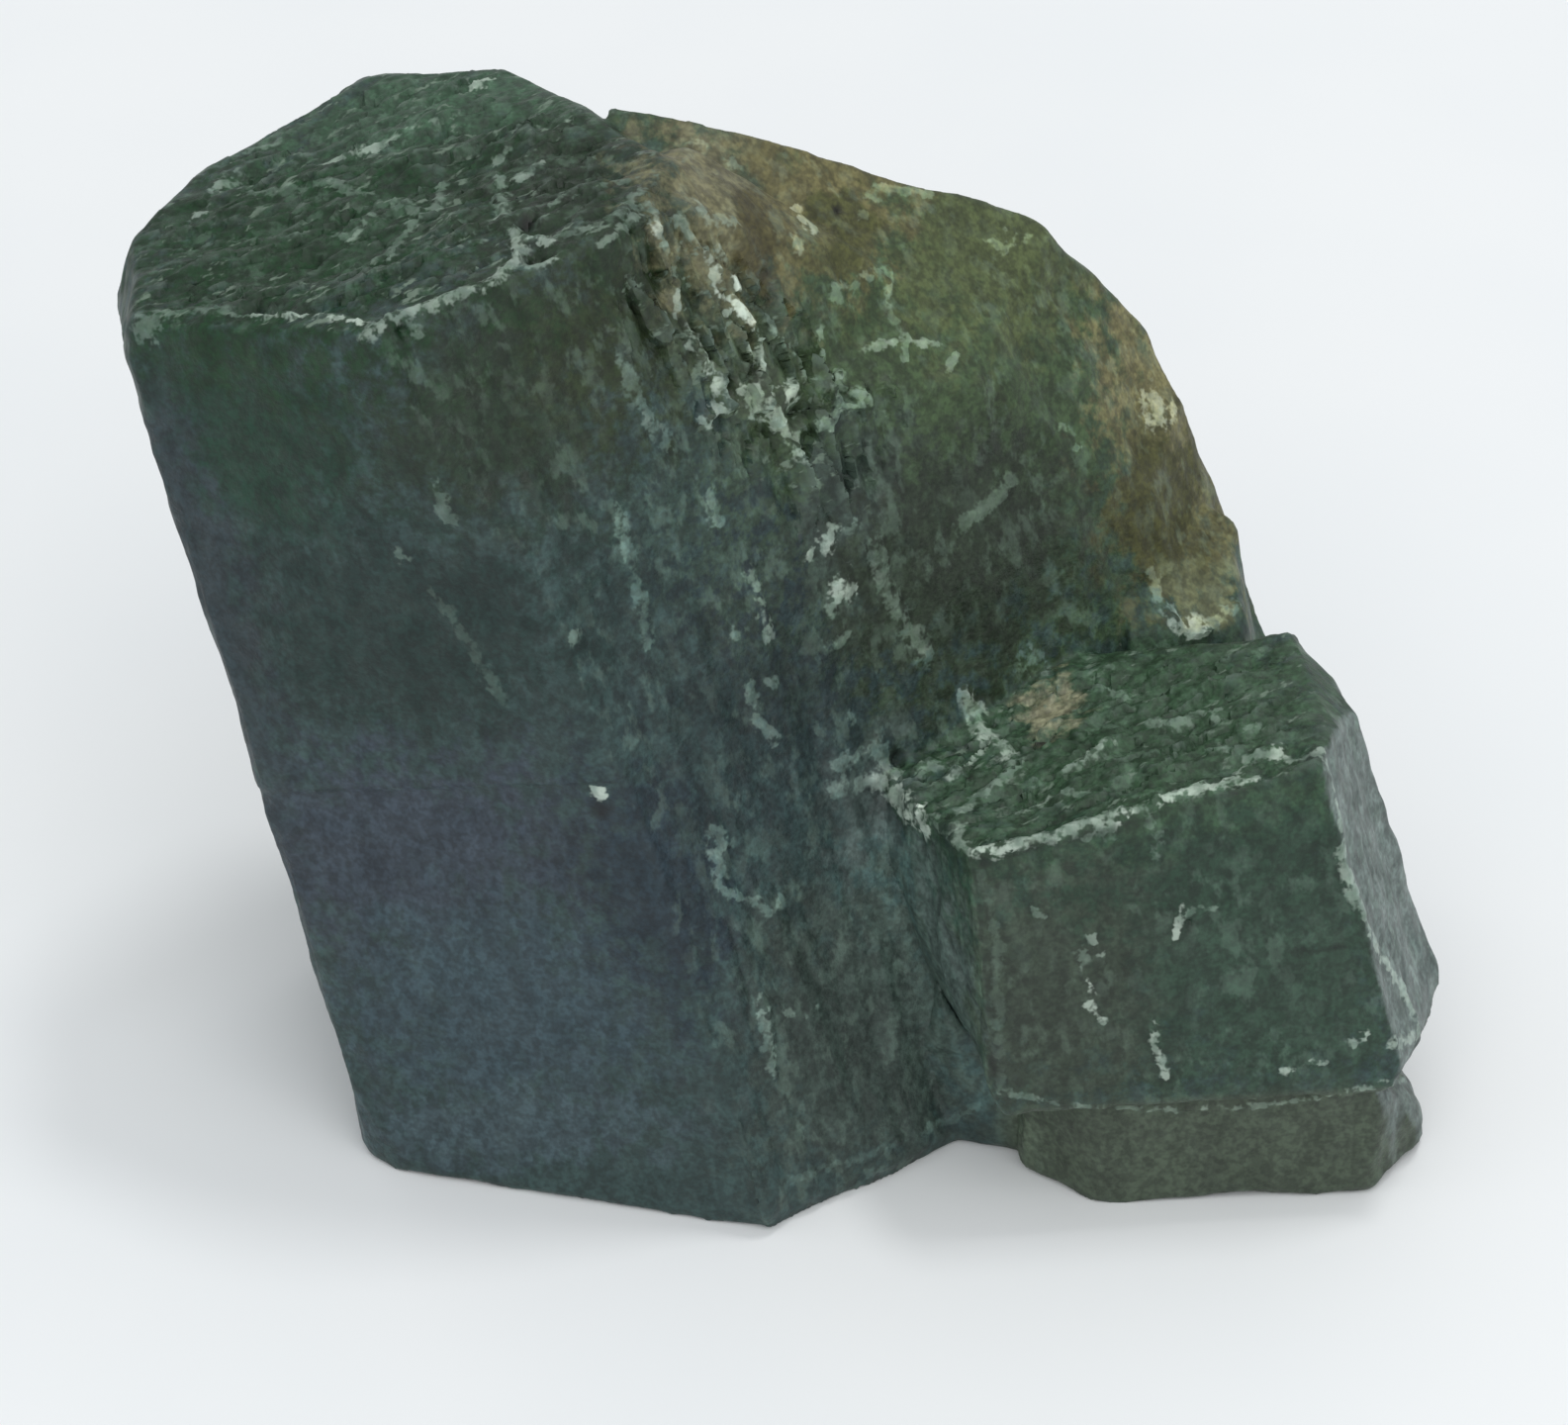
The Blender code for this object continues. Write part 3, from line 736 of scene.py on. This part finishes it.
class Pins:
    """Finds the place on the stone under a pixel of the photograph."""

    def __init__(self, mesh):
        bm = bmesh.new()
        bm.from_mesh(mesh)
        self.tree = BVHTree.FromBMesh(bm)
        bm.free()
        self.eye, self.right, self.up, self.forward = photo_axes()

    def place(self, pixel):
        across = pixel[0] - PHOTO_WIDTH / 2.0
        down = pixel[1] - PHOTO_HEIGHT / 2.0
        focal = PIXELS_PER_MM * CAMERA_DISTANCE
        direction = (self.forward * focal + self.right * across - self.up * down).normalized()
        hit = self.tree.ray_cast(self.eye, direction)[0]
        if hit is None:
            beside = self.eye + direction * CAMERA_DISTANCE
            hit = self.tree.find_nearest(beside)[0]
        return np.array(hit)

    def path(self, pixels):
        """The places on the stone along a course of pixels, about PATH_STEP apart."""
        spots = [self.place(pixels[0])]
        for start, end in zip(pixels, pixels[1:] or pixels):
            parts = max(1, round(math.dist(start, end) / PIXELS_PER_MM / PATH_STEP))
            for part in range(1, parts + 1):
                spots.append(self.place(np.array(start) + np.subtract(end, start) * (part / parts)))
        return spots


def marks(pins):
    """Every mark as (reach, height, paleness, darkness of its painted shade, path on the stone)."""
    made = []
    for reach, rise, pale, *pixels in [*RIDGES.values(), *CHIPS.values()]:
        made.append((reach / 100.0, rise / 100.0, pale / 100.0, 0.0, pins.path(pixels)))
    for darkness, table in ((1.0, HOLES), (CRACK_DARKNESS, CRACKS)):
        for reach, depth, *pixels in table.values():
            made.append((reach / 100.0, -depth / 100.0, 0.0, darkness, pins.path(pixels)))
    return made


# ---- relief on the stone

def beyond(places, *faces):
    """How far each place lies outside a block: the most it stands beyond any of the block's faces."""
    return np.max([places @ np.array(normal) - out for normal, out in planes(*faces)], axis=0)


def beyond_crystals(places):
    """How far each place lies outside the main, the olive and the small crystal."""
    return [beyond(places, *block[:2]) for block in (MAIN, OLIVE, SMALL)]


def along_face(places, face):
    """How far each place or normal lies along a crystal face's own direction."""
    return places @ np.array(crystal_facing(*face[:2]))


def regions(places, normals):
    """How far each place belongs to the broken tops, the grooved sides, the smooth sides and the ledge."""
    lean = np.array(LEAN)
    grown = places @ lean  # the same places measured right, back and up along the crystals
    faced = normals @ lean
    height = grown[:, 2]
    on_top = blend(faced[:, 2], *TOP_TILT)
    main_top = on_top * blend(height, *MAIN_TOP_HEIGHT)
    small_top = on_top * blend(height, *SMALL_TOP_HEIGHT) * (1.0 - blend(height, *SMALL_TOP_END))
    round_right = np.degrees(np.arctan2(faced[:, 0], -faced[:, 1]))
    sides = (1.0 - blend(faced[:, 2], *OFF_SIDE_UP)) * (1.0 - blend(-faced[:, 2], *OFF_SIDE_DOWN))
    grooved = sides * blend(np.abs(round_right + FRONT_TURN), *GROOVES_FROM)
    ledge = blend(near_path(places, [np.array(LEDGE_TOP), np.array(LEDGE_BOTTOM)], LEDGE_REACH), 0.0, 0.7)
    return grown, np.maximum(main_top, small_top), grooved, sides * (1.0 - grooved), ledge


def broken_tops(places, grown, tops):
    """How far the tops' steps and flakes stand up, less so near the tops' edges."""
    turned = grown @ np.array(Matrix.Rotation(math.radians(TOP_TURN), 3, "Z"))
    up = relief("steps", tops, grown, lambda spots, size: terraces(waves(spots, size, 2), 3))
    up += relief("chips", tops, turned, flakes)
    up += relief("hackles", tops, turned, flakes)
    main_sides = {name: face for name, face in MAIN_FACES.items() if name != "top"}
    small_sides = {name: face for name, face in SMALL_FACES.items() if name != "top"}
    inside = -np.minimum(beyond(places, main_sides, {}), beyond(places, small_sides, {}))
    return up * (0.35 + 0.65 * blend(inside, *RIM_WIDTH))


def worn_sides(places, grown, grooved, smooth, ledge):
    """How far wear, grooves and splinters push the surface out."""
    out = relief("wear", 1.0 - 0.75 * smooth, places, waves, 3)
    out += relief("dimples", 1.0 - 0.7 * smooth, places, waves, 2)
    out += relief("grooves", grooved, grown, waves, 2)
    out += relief("scratches", grooved, grown, waves, 2)
    out += relief("splinters", ledge, grown, lambda spots, size: flakes(spots, size) - 0.35)
    return out


def drawn_relief(places, drawn):
    """How far the marks push the surface out, with gaps where they are broken down."""
    ragged = wandered(places)
    out = np.zeros(len(places))
    for reach, rise, _, _, path in drawn:
        out += near_path(ragged, path, reach) * rise
    return out * (0.45 + 0.55 * blend(waves(places, GAP_SIZE, 1), -0.3, 0.2))


def filled_crease(places, grown):
    """How far the crease between the main and the small crystal is filled out."""
    main_off, _, small_off = beyond_crystals(places)
    near_both = np.clip(1.0 - np.abs(main_off - small_off) / CREASE_REACH, 0.0, 1.0)
    within = (1.0 - blend(grown[:, 2], *CREASE_TOP)) * blend(places[:, 2] - GROUND, *CREASE_FOOT)
    return CREASE_REACH / 4.0 * near_both**2 * within * (1.0 - blend(main_off, 0.5, CREASE_REACH))


def front_step(places, grown):
    """How far the smooth lower left of the front comes forward; below 0 it is set back."""
    behind_front = MAIN_FACES["front"][2] - along_face(places, MAIN_FACES["front"])
    low_front = 1.0 - blend(grown[:, 2], RECESS_TOP, RECESS_TOP + 0.3)
    low_front *= (1.0 - blend(behind_front, 0.8, 2.0)) * (1.0 - blend(grown[:, 0], 0.9, 1.5))
    fill = (FILL_OUT - FILL_SLANT * (grown[:, 0] + 4.0)) * blend(grown[:, 0], *FILL_CORNER)
    return low_front * (fill * np.clip(1.0 - grown[:, 2] / RECESS_TOP, 0.0, 1.0) - RECESS_DEPTH)


def carve(stone, drawn):
    """Moves the stone's surface in and out to give it its rough parts."""
    mesh = stone.data
    places, normals = surface(mesh)
    grown, tops, grooved, smooth, ledge = regions(places, normals)
    up = broken_tops(places, grown, tops)
    out = worn_sides(places, grown, grooved, smooth, ledge)
    out += drawn_relief(places, drawn)
    out += filled_crease(places, grown)
    forward = front_step(places, grown)

    under = blend(-normals[:, 2], *UNDERSIDE_TILT)
    hollows = np.clip(relief("hollows", under, places, waves, 3) - WORN_DEPTH * under, 0.0, None)

    places += normals * (out * (1.0 - under))[:, None] + np.array(LEAN)[:, 2] * up[:, None]
    places += np.array(crystal_facing(*MAIN_FACES["front"][:2])) * forward[:, None]
    places[:, 2] += hollows
    mesh.vertices.foreach_set("co", places.ravel())
    mesh.update()


def thin_out(stone):
    """Brings the stone down to its budget of triangles, most of them where the surface bends."""
    triangles = sum(len(face.vertices) - 2 for face in stone.data.polygons)
    if triangles > TRIANGLES:
        fewer = stone.modifiers.new("fewer", "DECIMATE")
        fewer.ratio = TRIANGLES / triangles
        settle(stone)


# ---- paint masks

def convexity(mesh, places, normals):
    """How far each vertex stands above its neighbours, against the length of its edges."""
    ends = np.empty(len(mesh.edges) * 2, dtype=np.int64)
    mesh.edges.foreach_get("vertices", ends)
    one, other = ends.reshape(-1, 2).T

    def gathered(at_one, at_other):
        """What each edge gives its two ends, added up at the vertices."""
        return np.bincount(one, at_one, len(places)) + np.bincount(other, at_other, len(places))

    number = gathered(None, None)
    step = places[other] - places[one]
    length = np.linalg.norm(step, axis=1)
    fall = np.einsum("ij,ij->i", step, normals[one])
    other_fall = -np.einsum("ij,ij->i", step, normals[other])
    stand = -(gathered(fall, other_fall) / number) / (gathered(length, length) / number)
    for _ in range(2):
        stand = 0.5 * stand + 0.5 * gathered(stand[other], stand[one]) / number
    return stand


def drawn_masks(places, drawn):
    """The masks of pale marks, of how bright they are and of the shade painted dark into holes and cracks."""
    ragged = wandered(places)
    pale = np.zeros(len(places))
    bright = np.zeros(len(places))
    pit_shade = np.zeros(len(places))
    for reach, rise, paleness, darkness, path in drawn:
        near = near_path(ragged, path, reach * (PAINT_REACH if rise > 0.0 else PIT_SHADE_REACH))
        pit_shade = np.maximum(pit_shade, near * darkness)
        if rise > 0.0:
            pale = np.maximum(pale, near)
            bright = np.maximum(bright, near * paleness)
    return {"pale": pale, "bright": bright / np.maximum(pale, 0.01), "pit_shade": pit_shade}


def crystal_masks(places, normals, grown):
    """The masks of which crystal a place belongs to, and of the crease and the small crystal's left face,
    where light is painted over the shade that falls there.
    """
    main_off, olive_off, small_off = beyond_crystals(places)
    low = (1.0 - blend(grown[:, 2], *BELOW_SMALL_TOP)) * (1.0 - blend(normals[:, 2], *UPWARD))
    # the crease and the small crystal's left face, painted lighter against the shade that falls there
    crease = np.clip(1.0 - np.abs(main_off - small_off) / CREASE_REACH, 0.0, 1.0)
    crease *= 1.0 - blend(main_off, 1.0, 3.5)
    small_left = blend(-normals[:, 0], 0.35, 0.65) * (1.0 - blend(small_off, 0.3, 0.9))
    return {
        "small": 0.5 + np.minimum(main_off, olive_off) - small_off - 1.2 * low,
        "olive": 0.5 + np.minimum(main_off, small_off) - olive_off,
        "crease": low * np.maximum(crease, small_left),
    }


def paint(stone, drawn):
    """Writes the masks that the stone's material reads."""
    mesh = stone.data
    places, normals = surface(mesh)
    grown, tops, grooved, smooth, ledge = regions(places, normals)
    masks = drawn_masks(places, drawn)
    masks.update(crystal_masks(places, normals, grown))

    stand = convexity(mesh, places, normals)
    rough = np.maximum(tops, ledge)
    masks["rough"] = rough
    masks["crest"] = blend(stand, *CREST_STAND) * (0.25 + 0.75 * rough)
    # painted shade: hollows among neighbouring vertices are darkened where shade falls in them
    masks["crevice_shade"] = blend(-stand, *CREVICE_SINK) * (0.3 + 0.7 * rough)

    banded = 1.0 - smooth * (1.0 - 0.8 * blend(masks["olive"], 0.0, 1.0))
    small_front = blend(along_face(places, SMALL_FACES["front"]), *BANDED_FRONT)
    small_front *= blend(places[:, 0], *BANDED_FROM_LEFT)
    masks["banded"] = np.maximum(banded, 0.75 * smooth * small_front)

    # painted reflection: the small crystal's right side face is painted paler, as the light it reflects from
    # the right
    side = SMALL_FACES["side"]
    masks["side_reflection"] = blend(along_face(normals, side), *SIDE_REFLECTION_TURN)
    masks["side_reflection"] *= blend(along_face(places, side), *SIDE_REFLECTION_DISTANCE)
    masks["foot"] = 1.0 - blend(places[:, 2] - GROUND, *FOOT_TOP)
    masks["foot"] *= blend(places[:, 0], *FOOT_LEFT) * (1.0 - blend(places[:, 1], *FOOT_BACK))

    for name, values in masks.items():
        mask = mesh.attributes.new(name, "FLOAT", "POINT")
        mask.data.foreach_set("value", np.clip(values, 0.0, 1.0).astype(np.float32))


def place_in_frame(stone):
    """Moves the stone to the part's frame, on the ground and inside the CAD solid's box."""
    mesh = stone.data
    places, _ = surface(mesh)
    places[places[:, 2] < GROUND + LEVEL_WITHIN, 2] = GROUND
    places = (places - ORIGIN) * MM
    places = np.clip(places, np.array(cad_low), np.array(cad_high))
    mesh.vertices.foreach_set("co", places.ravel())
    mesh.update()


# ---- materials

def stone_colour(shown):
    """The base colour that makes the stone show this colour under the scene's light and its own sheen."""
    parts = [value / 255.0 for value in shown]
    linear = [part / 12.92 if part <= 0.04045 else ((part + 0.055) / 1.055) ** 2.4 for part in parts]
    return tuple(max(0.004, (part - VEIL) / LIGHT) for part in linear) + (1.0,)


class Nodes:
    """Short ways to add and join nodes in one material."""

    def __init__(self, name):
        self.material = bpy.data.materials.new(name)
        self.material.use_nodes = True
        self.tree = self.material.node_tree
        self.shader = self.tree.nodes["Principled BSDF"]

    def set(self, node, inputs):
        for socket, value in inputs.items():
            if isinstance(value, bpy.types.NodeSocket):
                self.tree.links.new(value, node.inputs[socket])
            else:
                node.inputs[socket].default_value = value
        return node

    def add(self, kind, inputs, **options):
        node = self.tree.nodes.new("ShaderNode" + kind)
        for option, value in options.items():
            setattr(node, option, value)
        return self.set(node, inputs)

    def mm(self):
        """Places on the object in millimetres."""
        return self.vector("SCALE", self.add("TexCoord", {}).outputs["Object"], scale=1.0 / MM)

    def mask(self, name):
        return self.add("Attribute", {}, attribute_name=name).outputs["Fac"]

    def noise(self, places, size, detail, roughness):
        """Random values about 0.5, of features of the given size in millimetres."""
        inputs = {"Vector": places, "Scale": 1.0 / size, "Detail": detail, "Roughness": roughness}
        return self.add("TexNoise", inputs).outputs["Fac"]

    def spread(self, value, low, high, to_low=0.0, to_high=1.0):
        """A value between low and high brought smoothly to between to_low and to_high."""
        inputs = {"Value": value, "From Min": low, "From Max": high, "To Min": to_low, "To Max": to_high}
        return self.add("MapRange", inputs, interpolation_type="SMOOTHSTEP").outputs[0]

    def pattern(self, places, name):
        """One of the random patterns."""
        size, detail, roughness, *growth = PATTERNS[name]
        return self.spread(self.noise(places, size, detail, roughness), *growth)

    def maths(self, operation, *values):
        return self.add("Math", dict(enumerate(values)), operation=operation).outputs[0]

    def times(self, first, *others):
        for other in others:
            first = self.maths("MULTIPLY", first, other)
        return first

    def vector(self, operation, first, second=(0.0, 0.0, 0.0), scale=1.0):
        return self.add("VectorMath", {0: first, 1: second, 3: scale}, operation=operation).outputs[0]

    def turned(self, places, angles):
        made = self.add("VectorRotate", {"Vector": places, "Rotation": angles}, rotation_type="EULER_XYZ")
        return made.outputs[0]

    def mix(self, share, first, second):
        """first where the share is 0 and second where it is 1."""
        return self.add("Mix", {0: share, 6: first, 7: second}, data_type="RGBA").outputs[2]

    def over(self, share, colour, shown):
        """The colour with another one shown over it by the share."""
        return self.mix(share, colour, stone_colour(shown))


def patched(nodes, places, grown, pins):
    """The stone's soft patches, those named after a crystal only on that crystal, its foot, and the painted
    reflection on the small crystal's right side.
    """
    push = nodes.add("TexNoise", {"Vector": places, "Scale": 0.9, "Detail": 3.0}).outputs["Color"]
    push = nodes.vector("SCALE", nodes.vector("SUBTRACT", push, (0.5, 0.5, 0.5)), scale=3.0)
    loose = nodes.vector("ADD", grown, push)
    edge = nodes.pattern(places, "patch_edges")
    own = {}
    for name in ("small", "olive"):
        label = nodes.maths("MULTIPLY_ADD", edge, 0.6, nodes.mask(name))
        own[name] = nodes.spread(label, 0.4, 0.6)
    colour = stone_colour(BASE_COLOUR)
    for name, (pixel, reach, shown) in ZONES.items():
        centre = LEAN.transposed() @ Vector(pins.place(pixel) - ORIGIN)
        offset = nodes.vector("DIVIDE", nodes.vector("SUBTRACT", loose, centre), reach)
        away = nodes.add("VectorMath", {0: offset}, operation="LENGTH").outputs["Value"]
        share = nodes.spread(nodes.maths("ADD", away, edge), 0.35, 1.0, 1.0, 0.0)
        crystal = name.split("_")[0]
        if crystal in own:
            share = nodes.times(share, own[crystal])
        colour = nodes.over(share, colour, shown)
    colour = nodes.over(nodes.mask("foot"), colour, FOOT_COLOUR)
    # painted reflection on the small crystal's right side
    side_reflection = nodes.times(nodes.mask("side_reflection"), nodes.pattern(places, "side_reflection"))
    return nodes.over(side_reflection, colour, SIDE_REFLECTION_COLOUR)


def mottled(nodes, colour, places, grown):
    """The colour with mottling, specks, lighter blobs, slivers on the broken parts and pale crests, and with
    light painted into the shaded crease.
    """
    busy = nodes.maths("MAXIMUM", nodes.mask("rough"), nodes.times(nodes.mask("banded"), 0.8))
    stretched = nodes.vector("MULTIPLY", grown, (1.0, 1.0, 0.62))
    strength = nodes.spread(busy, 0.0, 1.0, *MOTTLING)
    shade = nodes.times(
        nodes.maths("MULTIPLY_ADD", nodes.pattern(stretched, "mottling"), strength, 1.0),
        nodes.pattern(places, "specks"),
        nodes.pattern(grown, "broad"),
        nodes.pattern(places, "grain"),
        # painted light: the crease is lifted brighter against the shade that falls there
        nodes.spread(nodes.mask("crease"), 0.0, 1.0, 1.0, CREASE_PAINTED_LIGHT),
    )
    colour = nodes.vector("SCALE", colour, scale=shade)

    blobs = nodes.times(
        nodes.pattern(stretched, "blobs"),
        nodes.pattern(grown, "blob_groups"),
        nodes.spread(busy, 0.0, 1.0, *BLOBS),
    )
    lighter = nodes.over(0.5, nodes.vector("SCALE", colour, scale=2.2), CREST_COLOUR)
    colour = nodes.mix(blobs, colour, lighter)
    along = nodes.turned(grown, (0.0, 0.0, math.radians(-TOP_TURN)))
    along = nodes.vector("MULTIPLY", along, (0.45, 1.0, 1.0))
    slivers = nodes.times(nodes.pattern(along, "slivers"), nodes.mask("rough"))
    colour = nodes.over(slivers, colour, SLIVER_COLOUR)
    crest = nodes.times(nodes.mask("crest"), nodes.pattern(places, "crests"))
    return nodes.over(crest, colour, CREST_COLOUR)


def marked(nodes, colour, places):
    """The colour with the pale marks drawn on it, and with shade painted dark into the pits, cracks and
    crevices.
    """
    shape = nodes.maths("ADD", nodes.mask("pale"), nodes.pattern(places, "ragged_marks"))
    bright = nodes.times(nodes.mask("bright"), nodes.pattern(places, "paleness"))
    shape = nodes.times(nodes.spread(shape, 0.58, 0.84), nodes.spread(bright, 0.1, 0.45, 0.2, 1.0))
    share = nodes.maths("MAXIMUM", nodes.maths("MULTIPLY_ADD", bright, 1.43, -0.43), 0.0)
    share = nodes.maths("POWER", share, 1.6)
    mark = nodes.over(share, stone_colour(CREST_COLOUR), PALE_COLOUR)
    tint = nodes.spread(nodes.mask("olive"), 0.0, 0.4, *MARK_TINT)
    mark = nodes.mix(tint, mark, nodes.vector("SCALE", colour, scale=3.0))
    colour = nodes.mix(shape, colour, mark)
    # painted shade in the pits, cracks and crevices
    dark = nodes.maths("MAXIMUM", nodes.mask("pit_shade"), nodes.times(nodes.mask("crevice_shade"), CREVICE_SHADE_SHARE))
    return nodes.over(nodes.spread(dark, 0.1, 0.9, 0.0, PIT_SHADE_SHARE), colour, PIT_SHADE_COLOUR)


def stone_material(pins):
    """Dull green beryl in soft patches, mottled, with pale broken ridges, and shade painted dark into its
    pits and crevices.
    """
    nodes = Nodes("emerald_rough")
    places = nodes.mm()
    grown = nodes.turned(places, LEAN.transposed().to_euler())
    colour = patched(nodes, places, grown, pins)
    colour = mottled(nodes, colour, places, grown)
    colour = marked(nodes, colour, places)

    fine = nodes.noise(places, 0.16, 4.0, 0.65)
    height = nodes.maths("MULTIPLY_ADD", nodes.noise(places, 0.5, 3.0, 0.6), 1.4, fine)
    bump = nodes.add("Bump", {"Height": height, "Strength": 0.7, "Distance": 0.05 * MM}).outputs["Normal"]
    gloss = nodes.pattern(places, "gloss")
    nodes.set(
        nodes.shader,
        {"Base Color": colour, "Roughness": gloss, "Normal": bump, "IOR": 1.58, "Specular IOR Level": 0.3},
    )
    return nodes.material


def floor_material():
    """Plain pale card."""
    nodes = Nodes("pale_floor")
    tone = nodes.pattern(nodes.mm(), "card")
    colour = nodes.mix(tone, (0.865, 0.885, 0.895, 1.0), (0.885, 0.9, 0.905, 1.0))
    nodes.set(nodes.shader, {"Base Color": colour, "Roughness": 0.9, "Specular IOR Level": 0.1})
    return nodes.material


# ---- floor, light and camera

FLOOR_SIZE = 0.9
SKY = (0.94, 0.965, 0.985)
SKY_STRENGTH = 0.7
# Soft lamps: compass azimuth, height angle, distance, width across and up in metres, power in watts.
LAMPS = dict(
    overhead=(132.0, 78.0, 0.7, 0.15, 0.09, 0.8),
    front_fill=(8.0, 45.0, 0.35, 0.4, 0.4, 0.5),
)


def add_floor():
    bm = bmesh.new()
    bmesh.ops.create_grid(bm, x_segments=1, y_segments=1, size=FLOOR_SIZE / 2.0)
    floor = mesh_object("floor", bm)
    floor.data.materials.append(floor_material())


def add_light():
    world = bpy.data.worlds.new("soft_sky")
    world.use_nodes = True
    background = world.node_tree.nodes["Background"]
    background.inputs["Color"].default_value = SKY + (1.0,)
    background.inputs["Strength"].default_value = SKY_STRENGTH
    bpy.context.scene.world = world
    for name, (azimuth, height, distance, across, up, power) in LAMPS.items():
        lamp = bpy.data.lights.new(name, "AREA")
        lamp.shape = "ELLIPSE"
        lamp.size = across
        lamp.size_y = up
        lamp.energy = power
        towards = facing(azimuth, height)
        item = new_object(name, lamp)
        item.location = towards * distance
        item.rotation_euler = towards.to_track_quat("Z", "Y").to_euler()


def add_camera():
    eye, right, up, forward = photo_axes()
    lens = bpy.data.cameras.new("photo_camera")
    lens.sensor_width = SENSOR_WIDTH
    lens.lens = SENSOR_WIDTH * PIXELS_PER_MM * CAMERA_DISTANCE / PHOTO_WIDTH
    lens.clip_start = 0.01
    lens.clip_end = 10.0
    camera = new_object("photo_camera", lens)
    camera.location = (eye - Vector(ORIGIN)) * MM
    camera.rotation_euler = Matrix((right, up, -forward)).transposed().to_euler()
    bpy.context.scene.camera = camera
    bpy.context.scene.view_settings.view_transform = "Standard"


# ---- the scene

def add_stone():
    stone = fused_blocks()
    pins = Pins(stone.data)
    drawn = marks(pins)
    carve(stone, drawn)
    thin_out(stone)
    paint(stone, drawn)
    place_in_frame(stone)
    stone.data.materials.append(stone_material(pins))
    for face in stone.data.polygons:
        face.use_smooth = True
    stone.data.set_sharp_from_angle(angle=math.radians(38))
    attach(stone, "root")
    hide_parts("emerald")


add_stone()
add_floor()
add_light()
add_camera()
